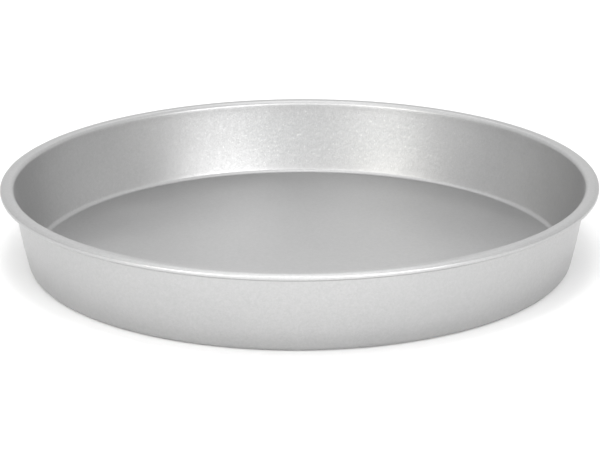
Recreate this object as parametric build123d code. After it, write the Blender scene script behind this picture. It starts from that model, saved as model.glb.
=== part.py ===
from build123d import *
from math import cos, sin, tan, radians, hypot, pi
import os

# Round cake tin: one drawn sheet-steel pan with a sloping, slightly bowed wall,
# and a hoop of round wire that the rolled rim is closed over.
# Millimetres. Origin at the centre of the underside, +Z up along the tin's axis.

# ---- driving dimensions -------------------------------------------------
rim_outer_radius = 130.0   # outside of the rolled rim
tin_height = 35.4          # underside of the floor to the top of the rim
sheet = 0.5                # steel sheet, the same everywhere

floor_flat_radius = 116.6  # where the flat floor ends and the bend begins
inner_bend_radius = 2.2    # bend between floor and wall, on the inside
wall_lean = 9.5            # degrees from upright, from the wall's foot to its lip
wall_bow = 3.4             # degrees more lean at the foot, and less at the lip

lip_radius = 2.0           # bend from wall to rim, on the side that is seen
shoulder_radius = 4.5      # soft curve from the rim's flat top into the roll
shoulder_turn = 22.0       # degrees that the shoulder turns downward
curl_radius = 1.2          # outside radius of the roll at the edge
curl_sweep = 290.0         # degrees from the flat to the cut edge, round the wire

wire_radius = curl_radius - sheet   # hoop of round wire that fills the roll
wire_gap = 1.0                      # left between the two butted wire ends

# ---- points of the section, (radius, height) ------------------------------
foot_lean = wall_lean + wall_bow
lip_lean = wall_lean - wall_bow
outer_bend_radius = inner_bend_radius + sheet


def on_circle(centre, radius, angle):
    """Point of a circle in the section plane, angle in degrees from +X."""
    a = radians(angle)
    return (centre[0] + radius * cos(a), centre[1] + radius * sin(a))


# Bend between floor and wall: both its faces share one centre.
bend = (floor_flat_radius, outer_bend_radius)
bend_top = -foot_lean

# Wall: both faces are arcs about one centre, far away on the inner side, so the
# wall bulges outward a little: it leans more at its foot than at its lip, and
# meets both bends without a corner.
wall_in_low = on_circle(bend, inner_bend_radius, bend_top)
lip_z = tin_height - lip_radius
lip_low_z = lip_z + lip_radius * sin(radians(lip_lean))
wall_in_top = (
    wall_in_low[0] + (lip_low_z - wall_in_low[1]) * tan(radians(wall_lean)),
    lip_low_z,
)
wall_chord = hypot(wall_in_top[0] - wall_in_low[0], wall_in_top[1] - wall_in_low[1])
wall_in_radius = wall_chord / (2 * sin(radians(wall_bow)))
wall_out_radius = wall_in_radius + sheet
wall_centre = on_circle(wall_in_low, wall_in_radius, 180.0 + bend_top)

# Lip: the wall turns outward into the short flat top of the rim.
lip = (wall_in_top[0] + lip_radius * cos(radians(lip_lean)), lip_z)
lip_start = 180.0 - lip_lean

# Shoulder: the flat top of the rim eases down into the roll. The shoulder and
# the roll touch without a corner, so their centres lie on one line.
roll_start = 90.0 - shoulder_turn
shoulder_arm = on_circle((0.0, 0.0), shoulder_radius - curl_radius, roll_start)
shoulder = (
    rim_outer_radius - curl_radius - shoulder_arm[0],
    tin_height - shoulder_radius,
)

# Roll: the sheet goes over, outside and under the wire, and its cut edge
# ends just below the flat.
roll = (shoulder[0] + shoulder_arm[0], shoulder[1] + shoulder_arm[1])
roll_end = 90.0 - curl_sweep

mouth_radius = wall_in_top[0]
base_radius = floor_flat_radius + outer_bend_radius * cos(radians(foot_lean))


def arc(centre, radius, a0, a1):
    """Arc of the section through its two ends and its middle."""
    return ThreePointArc(
        on_circle(centre, radius, a0),
        on_circle(centre, radius, (a0 + a1) / 2),
        on_circle(centre, radius, a1),
    )


# ---- pan: the whole sheet, floor, bend, wall, lip and roll -----------------
with BuildPart() as pan:
    with BuildSketch(Plane.XZ):
        with BuildLine():
            # inside and top
            Line((0, sheet), (floor_flat_radius, sheet))
            arc(bend, inner_bend_radius, -90, bend_top)
            arc(wall_centre, wall_in_radius, -foot_lean, -lip_lean)
            arc(lip, lip_radius, lip_start, 90)
            Line(on_circle(lip, lip_radius, 90), on_circle(shoulder, shoulder_radius, 90))
            arc(shoulder, shoulder_radius, 90, roll_start)
            arc(roll, curl_radius, roll_start, roll_end)
            # cut edge of the sheet
            Line(
                on_circle(roll, curl_radius, roll_end),
                on_circle(roll, wire_radius, roll_end),
            )
            # inside of the roll and underside
            arc(roll, wire_radius, roll_end, roll_start)
            arc(shoulder, shoulder_radius - sheet, roll_start, 90)
            Line(
                on_circle(shoulder, shoulder_radius - sheet, 90),
                on_circle(lip, lip_radius - sheet, 90),
            )
            arc(lip, lip_radius - sheet, 90, lip_start)
            arc(wall_centre, wall_out_radius, -lip_lean, -foot_lean)
            arc(bend, outer_bend_radius, bend_top, -90)
            Line((floor_flat_radius, 0), (0, 0))
            Line((0, 0), (0, sheet))
        make_face()
    revolve(axis=Axis.Z)
pan_body = pan.part.solids()[0]

# ---- hoop of wire inside the roll ------------------------------------------
# It is bent from one straight length, and its two cut ends butt together at
# the back of the tin.
gap_degrees = wire_gap / roll[0] * 180.0 / pi
with BuildPart() as hoop:
    with BuildSketch(Plane.XZ):
        with Locations(roll):
            Circle(wire_radius)
    revolve(axis=Axis.Z, revolution_arc=360.0 - gap_degrees)
rim_wire = hoop.part.solids()[0]
rim_wire = rim_wire.rotate(Axis.Z, 90.0 + gap_degrees / 2)

# ---- files ------------------------------------------------------------------
nodes = {
    "pan_body": pan_body,
    "rim_wire": rim_wire,
}

os.makedirs("parts", exist_ok=True)
for name, shape in nodes.items():
    shape.label = name
    export_step(shape, f"parts/{name}.step")

print(f"mouth diameter {2 * mouth_radius:.2f}, base diameter {2 * base_radius:.2f}")
print(f"rim width {rim_outer_radius - mouth_radius:.2f}, inside depth {tin_height - sheet:.2f}")
print(f"rim flat from {2 * lip[0]:.2f} to {2 * shoulder[0]:.2f}, wall bow radius {wall_in_radius:.1f}")
print(f"rim thickness at the roll {tin_height - roll[1] + curl_radius:.2f}")
print(f"wire diameter {2 * wire_radius:.2f}, hoop diameter {2 * roll[0]:.1f}")
mass_g = (pan_body.volume + rim_wire.volume) * 7.85e-3
print(f"steel mass {mass_g:.0f} g")
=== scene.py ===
import math

import bpy
from mathutils import Matrix, Vector, noise


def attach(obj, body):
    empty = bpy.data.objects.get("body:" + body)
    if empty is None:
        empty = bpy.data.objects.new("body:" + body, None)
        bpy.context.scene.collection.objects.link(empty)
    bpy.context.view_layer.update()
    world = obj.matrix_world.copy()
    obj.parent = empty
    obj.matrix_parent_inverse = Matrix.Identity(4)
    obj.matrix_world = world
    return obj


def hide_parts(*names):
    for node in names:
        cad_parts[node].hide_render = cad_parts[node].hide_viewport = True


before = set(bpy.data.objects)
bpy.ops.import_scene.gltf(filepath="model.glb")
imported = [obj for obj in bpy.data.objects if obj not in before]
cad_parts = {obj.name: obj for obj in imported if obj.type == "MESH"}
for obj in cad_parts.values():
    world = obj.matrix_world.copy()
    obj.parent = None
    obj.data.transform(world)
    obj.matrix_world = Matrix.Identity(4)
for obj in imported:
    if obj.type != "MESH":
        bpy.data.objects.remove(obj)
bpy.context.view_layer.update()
scene = bpy.context.scene
MM = 0.001

# ---------------------------------------------------------------------------
# Section of the tin, the same as the sheet in the frame, in millimetres.
# ---------------------------------------------------------------------------
RIM_R = 130.0
HEIGHT = 35.4
SHEET = 0.5
FLOOR_R = 116.6
BEND_IN = 2.2
BEND_OUT = BEND_IN + SHEET
DRAFT = 9.5      # degrees, the wall's lean from its foot to its lip
BOW = 3.4        # degrees more lean at the foot, and less at the lip
LIP_R = 2.0
SHOULDER_R = 4.5
SHOULDER_TURN = math.radians(22.0)
CURL_R = 1.2
CURL_SWEEP = math.radians(290.0)
FLATTEN = 2.9    # 2 would be a round roll


def arc(c, r, a0, a1, n):
    """n + 1 points of an arc of the section, angles in radians from +X."""
    return [(c[0] + r * math.cos(a0 + (a1 - a0) * i / n),
             c[1] + r * math.sin(a0 + (a1 - a0) * i / n)) for i in range(n + 1)]


def run(p, q, n):
    """Points strictly between p and q, n steps."""
    return [(p[0] + (q[0] - p[0]) * i / n, p[1] + (q[1] - p[1]) * i / n) for i in range(1, n)]


def bowed(p, q, a0, a1, n):
    """Points strictly between p and q on an arc whose lean goes from a0 to a1."""
    turn = a1 - a0
    if abs(turn) < 1e-6:
        return run(p, q, n)
    chord = math.hypot(q[0] - p[0], q[1] - p[1])
    rad = chord / (2 * math.sin(turn / 2))
    c = (p[0] + rad * math.cos(a0), p[1] - rad * math.sin(a0))
    return [(c[0] - rad * math.cos(a0 + turn * i / n), c[1] + rad * math.sin(a0 + turn * i / n))
            for i in range(1, n)]


def smooth(x, a, b):
    t = min(1.0, max(0.0, (x - a) / (b - a)))
    return t * t * (3 - 2 * t)


def rolled(c, r, inset, a0, a1, n):
    """Points of the roll. The closing tool runs along its upper outer side
    and leaves it about a tenth of a millimetre squarer than a true circle."""
    pts = []
    for i in range(n + 1):
        a = a0 + (a1 - a0) * i / n
        square = (abs(math.cos(a)) ** FLATTEN + abs(math.sin(a)) ** FLATTEN) ** (-1 / FLATTEN)
        share = smooth(a, math.radians(-40), math.radians(-5)) * (
            1 - smooth(a, math.radians(45), math.pi / 2 - SHOULDER_TURN))
        rad = r * (1 + share * (square - 1)) - inset
        pts.append((c[0] + rad * math.cos(a), c[1] + rad * math.sin(a)))
    return pts


def section(bow=BOW):
    """The whole loop of the sheet, from the middle of the floor's top, out,
    up and over the rim, round the roll and back under to the middle."""
    half = math.pi / 2
    foot, lean = math.radians(DRAFT + bow), math.radians(DRAFT - bow)
    bend = (FLOOR_R, BEND_OUT)
    lip_z = HEIGHT - LIP_R
    low = (bend[0] + BEND_IN * math.cos(foot), bend[1] - BEND_IN * math.sin(foot))
    # the chord of the wall leans by DRAFT whatever the bow
    top_z = lip_z + LIP_R * math.sin(lean)
    top_r = low[0] + (top_z - low[1]) * math.tan(math.radians(DRAFT))
    lip = (top_r + LIP_R * math.cos(lean), lip_z)
    start = half - SHOULDER_TURN
    arm = ((SHOULDER_R - CURL_R) * math.cos(start), (SHOULDER_R - CURL_R) * math.sin(start))
    ease = (RIM_R - CURL_R - arm[0], HEIGHT - SHOULDER_R)
    curl = (ease[0] + arm[0], ease[1] + arm[1])
    pts, part = [], []

    def add(some, name):
        pts.extend(some)
        part.extend([name] * len(some))

    fillet_in = arc(bend, BEND_IN, -half, -foot, 14)
    lip_out = arc(lip, LIP_R, math.pi - lean, half, 14)
    ease_out = arc(ease, SHOULDER_R, half, start, 8)
    curl_out = rolled(curl, CURL_R, 0.0, start, half - CURL_SWEEP, 56)
    curl_in = rolled(curl, CURL_R, SHEET, half - CURL_SWEEP, start, 40)
    ease_in = arc(ease, SHOULDER_R - SHEET, start, half, 6)
    lip_in = arc(lip, LIP_R - SHEET, half, math.pi - lean, 10)
    fillet_out = arc(bend, BEND_OUT, -foot, -half, 14)
    add([(0.0, SHEET)], "axis")
    add(run((0.0, SHEET), fillet_in[0], 42), "floor")
    add(fillet_in, "bend")
    add(bowed(fillet_in[-1], lip_out[0], foot, lean, 26), "wall")
    add(lip_out, "lip")
    add(run(lip_out[-1], ease_out[0], 4), "flat")
    add(ease_out[:-1], "flat")
    add(curl_out, "curl")
    add(run(curl_out[-1], curl_in[0], 3), "edge")
    add(curl_in, "curl")
    add(ease_in[1:], "flat")
    add(run(ease_in[-1], lip_in[0], 3), "flat")
    add(lip_in, "lip")
    add(bowed(fillet_out[0], lip_in[-1], foot, lean, 26)[::-1], "wall")
    add(fillet_out, "bend")
    add(run(fillet_out[-1], (0.0, 0.0), 42), "under")
    add([(0.0, 0.0)], "axis")
    return pts, part


def made_by_hand(r, z, phi):
    """How far a point of the real sheet lies from the true figure of
    revolution, (dr, dz) in millimetres. Pressing and rolling leave the wall
    and the rim very slightly wavy, and the floor is never quite flat."""
    c, s = math.cos(phi), math.sin(phi)
    up = smooth(z, 2.5, HEIGHT - 3.0)
    out = smooth(r, FLOOR_R * 0.2, FLOOR_R * 0.9)
    # wall: long waves round the tin that fade towards the stiff bend and rim
    belly = up * (1 - smooth(z, HEIGHT * 0.55, HEIGHT - 2.0)) * 4
    w = noise.noise(Vector((c * 2.3, s * 2.3, z * 0.02 + 5.1)))
    w += 0.5 * noise.noise(Vector((c * 5.1 + 9, s * 5.1, z * 0.05)))
    dr = 0.055 * belly * 0.35 * w
    # rim: the roll is closed by a tool that runs round it
    rim = smooth(z, HEIGHT - 4.0, HEIGHT - 2.0)
    q = noise.noise(Vector((c * 7.3, s * 7.3, 1.7))) + 0.6 * noise.noise(Vector((c * 19.0, s * 19.0, 4.2)))
    dr += rim * (0.035 * q - 0.05)
    dz = rim * (0.03 * noise.noise(Vector((c * 8.7 + 3, s * 8.7, 2.9))) - 0.04)
    return dr, dz


def floor_lift(r, phi):
    """Height of the pressed floor over its own plane, never below it."""
    x, y = r * math.cos(phi) / 60.0, r * math.sin(phi) / 60.0
    fade = 1 - smooth(r, FLOOR_R * 0.55, FLOOR_R * 0.97)
    n = 0.5 + 0.5 * noise.noise(Vector((x, y, 7.7)))
    return fade * (0.10 + 0.10 * n)


def lathe_sheet(name, steps, bow=BOW):
    pts, part = section(bow)
    verts, faces = [], []
    rings = []
    for (r, z), kind in zip(pts, part):
        if kind == "axis":
            verts.append((0.0, 0.0, (z + floor_lift(0.0, 0.0)) * MM))
            rings.append([len(verts) - 1])
            continue
        ring = []
        for k in range(steps):
            phi = 2 * math.pi * k / steps
            dr, dz = made_by_hand(r, z, phi)
            if kind in ("floor", "under"):
                dz += floor_lift(r, phi)
            rr = r + dr
            verts.append((rr * math.cos(phi) * MM, rr * math.sin(phi) * MM, (z + dz) * MM))
            ring.append(len(verts) - 1)
        rings.append(ring)
    for a, b in zip(rings, rings[1:]):
        for k in range(steps):
            j = (k + 1) % steps
            if len(a) == 1:
                faces.append((a[0], b[k], b[j]))
            elif len(b) == 1:
                faces.append((a[k], b[0], a[j]))
            else:
                faces.append((a[k], b[k], b[j], a[j]))
    mesh = bpy.data.meshes.new(name)
    mesh.from_pydata(verts, [], faces)
    mesh.validate()
    mesh.polygons.foreach_set("use_smooth", [True] * len(mesh.polygons))
    obj = bpy.data.objects.new(name, mesh)
    scene.collection.objects.link(obj)
    return obj


# ---------------------------------------------------------------------------
# Materials
# ---------------------------------------------------------------------------
def node(tree, kind, at, **values):
    n = tree.nodes.new(kind)
    n.location = at
    for key, value in values.items():
        if key in n.inputs:
            n.inputs[key].default_value = value
        else:
            setattr(n, key, value)
    return n


def coating():
    """Satin silver-grey metallic coating: fine aluminium flake in a baked-on
    film, so it sparkles a little where the light changes."""
    m = bpy.data.materials.new("silver_coating")
    m.use_nodes = True
    t = m.node_tree
    t.nodes.clear()
    out = node(t, "ShaderNodeOutputMaterial", (900, 0))
    bsdf = node(t, "ShaderNodeBsdfPrincipled", (600, 0))
    bsdf.inputs["Metallic"].default_value = 1.0
    t.links.new(bsdf.outputs[0], out.inputs["Surface"])
    where = node(t, "ShaderNodeTexCoord", (-1400, 0))

    # flakes, each about half a millimetre across, lying at slightly different tilts
    flake = node(t, "ShaderNodeTexVoronoi", (-1000, 200))
    flake.inputs["Scale"].default_value = 1.0 / 0.00055
    flake.inputs["Randomness"].default_value = 1.0
    t.links.new(where.outputs["Object"], flake.inputs["Vector"])
    coarse = node(t, "ShaderNodeTexNoise", (-1000, -100))
    coarse.inputs["Scale"].default_value = 1.0 / 0.0016
    coarse.inputs["Detail"].default_value = 3.0
    t.links.new(where.outputs["Object"], coarse.inputs["Vector"])
    cloud = node(t, "ShaderNodeTexNoise", (-1000, -400))
    cloud.inputs["Scale"].default_value = 1.0 / 0.035
    cloud.inputs["Detail"].default_value = 4.0
    t.links.new(where.outputs["Object"], cloud.inputs["Vector"])

    # colour
    tone = node(t, "ShaderNodeMapRange", (-700, 260))
    tone.inputs["To Min"].default_value = 0.97
    tone.inputs["To Max"].default_value = 1.03
    split = node(t, "ShaderNodeSeparateColor", (-850, 260))
    t.links.new(flake.outputs["Color"], split.inputs["Color"])
    t.links.new(split.outputs["Red"], tone.inputs["Value"])
    mott = node(t, "ShaderNodeMapRange", (-700, -100))
    mott.inputs["From Min"].default_value = 0.3
    mott.inputs["From Max"].default_value = 0.7
    mott.inputs["To Min"].default_value = 0.975
    mott.inputs["To Max"].default_value = 1.025
    t.links.new(coarse.outputs["Fac"], mott.inputs["Value"])
    both = node(t, "ShaderNodeMath", (-500, 100), operation="MULTIPLY")
    t.links.new(tone.outputs["Result"], both.inputs[0])
    t.links.new(mott.outputs["Result"], both.inputs[1])
    drift = node(t, "ShaderNodeValToRGB", (-700, -400))
    drift.color_ramp.elements[0].position = 0.35
    drift.color_ramp.elements[0].color = (0.4365, 0.4370, 0.4380, 1)
    drift.color_ramp.elements[1].position = 0.65
    drift.color_ramp.elements[1].color = (0.4450, 0.4450, 0.4452, 1)
    t.links.new(cloud.outputs["Fac"], drift.inputs["Fac"])
    colour = node(t, "ShaderNodeVectorMath", (-250, 0), operation="SCALE")
    t.links.new(drift.outputs["Color"], colour.inputs[0])
    t.links.new(both.outputs[0], colour.inputs["Scale"])
    t.links.new(colour.outputs[0], bsdf.inputs["Base Color"])

    # roughness
    rough = node(t, "ShaderNodeMapRange", (-250, -300))
    rough.inputs["From Min"].default_value = 0.3
    rough.inputs["From Max"].default_value = 0.7
    rough.inputs["To Min"].default_value = 0.37
    rough.inputs["To Max"].default_value = 0.41
    t.links.new(cloud.outputs["Fac"], rough.inputs["Value"])
    t.links.new(rough.outputs["Result"], bsdf.inputs["Roughness"])

    # flake tilt, with one flake in ten lying well off the sheet so that it glints
    glint = node(t, "ShaderNodeMapRange", (-700, 420))
    glint.inputs["From Min"].default_value = 0.90
    glint.inputs["From Max"].default_value = 1.0
    glint.inputs["To Min"].default_value = 0.036
    glint.inputs["To Max"].default_value = 0.105
    t.links.new(split.outputs["Blue"], glint.inputs["Value"])
    centred = node(t, "ShaderNodeVectorMath", (-700, 500), operation="SUBTRACT")
    centred.inputs[1].default_value = (0.5, 0.5, 0.5)
    t.links.new(flake.outputs["Color"], centred.inputs[0])
    tilt = node(t, "ShaderNodeVectorMath", (-500, 500), operation="SCALE")
    t.links.new(centred.outputs[0], tilt.inputs[0])
    t.links.new(glint.outputs["Result"], tilt.inputs["Scale"])
    grain = node(t, "ShaderNodeBump", (-500, 700))
    grain.inputs["Strength"].default_value = 0.2
    grain.inputs["Distance"].default_value = 0.00004
    t.links.new(coarse.outputs["Fac"], grain.inputs["Height"])
    added = node(t, "ShaderNodeVectorMath", (-250, 500), operation="ADD")
    t.links.new(grain.outputs["Normal"], added.inputs[0])
    t.links.new(tilt.outputs[0], added.inputs[1])
    unit = node(t, "ShaderNodeVectorMath", (-50, 500), operation="NORMALIZE")
    t.links.new(added.outputs[0], unit.inputs[0])
    t.links.new(unit.outputs[0], bsdf.inputs["Normal"])
    return m


def drawn_wire():
    """Bright steel wire with the fine lengthwise lines that drawing leaves."""
    m = bpy.data.materials.new("drawn_wire")
    m.use_nodes = True
    t = m.node_tree
    t.nodes.clear()
    out = node(t, "ShaderNodeOutputMaterial", (600, 0))
    bsdf = node(t, "ShaderNodeBsdfPrincipled", (300, 0))
    bsdf.inputs["Metallic"].default_value = 1.0
    t.links.new(bsdf.outputs[0], out.inputs["Surface"])
    where = node(t, "ShaderNodeTexCoord", (-900, 0))
    lines = node(t, "ShaderNodeTexNoise", (-600, 0))
    lines.inputs["Scale"].default_value = 1.0 / 0.0002
    lines.inputs["Detail"].default_value = 2.0
    squeeze = node(t, "ShaderNodeMapping", (-750, 0))
    squeeze.inputs["Scale"].default_value = (0.05, 0.05, 1.0)
    t.links.new(where.outputs["Object"], squeeze.inputs["Vector"])
    t.links.new(squeeze.outputs[0], lines.inputs["Vector"])
    ramp = node(t, "ShaderNodeValToRGB", (-300, 150))
    ramp.color_ramp.elements[0].color = (0.40, 0.39, 0.38, 1)
    ramp.color_ramp.elements[1].color = (0.60, 0.60, 0.59, 1)
    t.links.new(lines.outputs["Fac"], ramp.inputs["Fac"])
    t.links.new(ramp.outputs["Color"], bsdf.inputs["Base Color"])
    rough = node(t, "ShaderNodeMapRange", (-300, -150))
    rough.inputs["To Min"].default_value = 0.22
    rough.inputs["To Max"].default_value = 0.42
    t.links.new(lines.outputs["Fac"], rough.inputs["Value"])
    t.links.new(rough.outputs["Result"], bsdf.inputs["Roughness"])
    bump = node(t, "ShaderNodeBump", (0, -300))
    bump.inputs["Strength"].default_value = 0.3
    bump.inputs["Distance"].default_value = 0.00003
    t.links.new(lines.outputs["Fac"], bump.inputs["Height"])
    t.links.new(bump.outputs["Normal"], bsdf.inputs["Normal"])
    return m


def paper():
    """Matt white sweep that the tin stands on."""
    m = bpy.data.materials.new("white_sweep")
    m.use_nodes = True
    t = m.node_tree
    bsdf = t.nodes["Principled BSDF"]
    bsdf.inputs["Roughness"].default_value = 0.9
    bsdf.inputs["Specular IOR Level"].default_value = 0.1
    where = node(t, "ShaderNodeTexCoord", (-900, 0))
    n = node(t, "ShaderNodeTexNoise", (-600, 0))
    n.inputs["Scale"].default_value = 6.0
    t.links.new(where.outputs["Object"], n.inputs["Vector"])
    ramp = node(t, "ShaderNodeValToRGB", (-300, 0))
    ramp.color_ramp.elements[0].color = (0.84, 0.84, 0.84, 1)
    ramp.color_ramp.elements[1].color = (0.86, 0.86, 0.86, 1)
    t.links.new(n.outputs["Fac"], ramp.inputs["Fac"])
    t.links.new(ramp.outputs["Color"], bsdf.inputs["Base Color"])
    return m


# ---------------------------------------------------------------------------
# The tin
# ---------------------------------------------------------------------------
silver = coating()
pan = lathe_sheet("pan_sheet", 320)
pan.data.materials.append(silver)
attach(pan, "root")
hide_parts("pan_body")

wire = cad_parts["rim_wire"]
bright = drawn_wire()
if wire.material_slots:
    for s in wire.material_slots:
        s.material = bright
else:
    wire.data.materials.append(bright)

# ---------------------------------------------------------------------------
# Floor
# ---------------------------------------------------------------------------
bpy.ops.mesh.primitive_grid_add(x_subdivisions=8, y_subdivisions=8, size=9.0, location=(0, 0, 0))
floor = bpy.context.object
floor.name = "floor"
floor.data.materials.append(paper())

# ---------------------------------------------------------------------------
# Camera: a long lens a little above the tin, at the photograph's angle
# ---------------------------------------------------------------------------
CAM_F_PX, CAM_D, CAM_ELEV = 1997.2, 0.880, 0.31695
CAM_YAW, CAM_PITCH, CAM_ROLL = -0.0001, -0.00614, 0.0047


def turned(axis, angle, v):
    return Matrix.Rotation(angle, 3, axis) @ v


aim = Vector((0, 0, HEIGHT * MM / 2))
back = Vector((0, -math.cos(CAM_ELEV), math.sin(CAM_ELEV)))
fwd, right = -back, Vector((1, 0, 0))
up = right.cross(fwd)
fwd, right = turned(up, CAM_YAW, fwd), turned(up, CAM_YAW, right)
fwd, up = turned(right, CAM_PITCH, fwd), turned(right, CAM_PITCH, up)
right, up = turned(fwd, CAM_ROLL, right), turned(fwd, CAM_ROLL, up)
cam_data = bpy.data.cameras.new("camera")
cam = bpy.data.objects.new("camera", cam_data)
scene.collection.objects.link(cam)
cam_data.sensor_width = 36.0
cam_data.sensor_fit = "HORIZONTAL"
cam_data.lens = CAM_F_PX / 600.0 * 36.0
cam_data.clip_start, cam_data.clip_end = 0.01, 30
cam.matrix_world = Matrix.Translation(aim + back * CAM_D) @ Matrix(
    (right, up, -fwd)).transposed().to_4x4()
scene.camera = cam

# ---------------------------------------------------------------------------
# Soft studio light. Azimuth 0 is the camera's side, positive to the right.
# ---------------------------------------------------------------------------
#        name, azimuth, elevation, distance, width, height, power
LIGHTS = [
    ("top", 0, 80, 1.6, 0.90, 0.60, 2.2),
    ("top_back", 180, 80, 1.6, 0.90, 0.60, 1.9),
    ("key_left", -20, 32, 1.6, 0.50, 0.42, 1.5),
    ("key_right", 20, 32, 1.6, 0.50, 0.42, 1.7),
    ("low_key_left", -42, 18, 1.6, 0.68, 0.34, 4.3),
    ("low_key_right", 36, 18, 1.6, 1.02, 0.34, 6.9),
    ("mid_front", 0, 18, 1.6, 0.68, 0.34, 1.2),
    ("big_front", 0, 52, 1.6, 0.80, 0.60, 0.2),
    ("big_left", -45, 52, 1.6, 0.80, 0.60, 1.6),
    ("side_left", -90, 52, 1.6, 0.80, 0.60, 0.95),
    ("side_right", 90, 52, 1.6, 0.80, 0.60, 0.6),
    ("front_left", -36, 6, 1.6, 1.02, 0.30, 3.25),
    ("front", 0, 6, 1.6, 1.02, 0.30, 1.45),
    ("front_right", 36, 6, 1.6, 1.02, 0.30, 2.15),
    ("low_left", -71, 6, 1.6, 0.68, 0.30, 0.4),
    ("low_right", 71, 6, 1.6, 0.68, 0.30, 0.3),
    ("back_top", 180, 52, 1.6, 0.80, 0.60, 2.0),
    ("back_top_left", -135, 52, 1.6, 0.80, 0.60, 0.35),
]


def softbox(name, azimuth, elevation, distance, width, height, power):
    a, e = math.radians(azimuth), math.radians(elevation)
    away = Vector((math.sin(a) * math.cos(e), -math.cos(a) * math.cos(e), math.sin(e)))
    data = bpy.data.lights.new(name, "AREA")
    data.shape = "RECTANGLE"
    data.size, data.size_y = width, height
    data.energy = power
    obj = bpy.data.objects.new(name, data)
    scene.collection.objects.link(obj)
    obj.location = Vector((0, 0, 0.02)) + away * distance
    obj.rotation_mode = "QUATERNION"
    obj.rotation_quaternion = (-away).to_track_quat("-Z", "Y")
    obj.visible_camera = False
    return obj


studio = {row[0]: softbox(*row) for row in LIGHTS}
# the box that lights the right half of the back wall is a little warmer
studio["low_key_left"].data.color = (1.0, 0.988, 0.94)

# a soft pool of light on the sweep in front of the tin, which its wall reflects
pool_data = bpy.data.lights.new("sweep_pool", "SPOT")
pool_data.energy = 92.0
pool_data.spot_size = math.radians(26.0)
pool_data.spot_blend = 1.0
pool_data.shadow_soft_size = 0.3
pool = bpy.data.objects.new("sweep_pool", pool_data)
scene.collection.objects.link(pool)
pool.location = (0, -0.43, 1.5)
pool.visible_camera = False

world = bpy.data.worlds.new("studio")
scene.world = world
world.use_nodes = True
sky = world.node_tree.nodes["Background"]
sky.inputs["Color"].default_value = (1, 1, 1, 1)
sky.inputs["Strength"].default_value = 1.0

scene.view_settings.view_transform = "Standard"
scene.view_settings.look = "None"
scene.view_settings.exposure = 0.0
scene.view_settings.gamma = 1.0
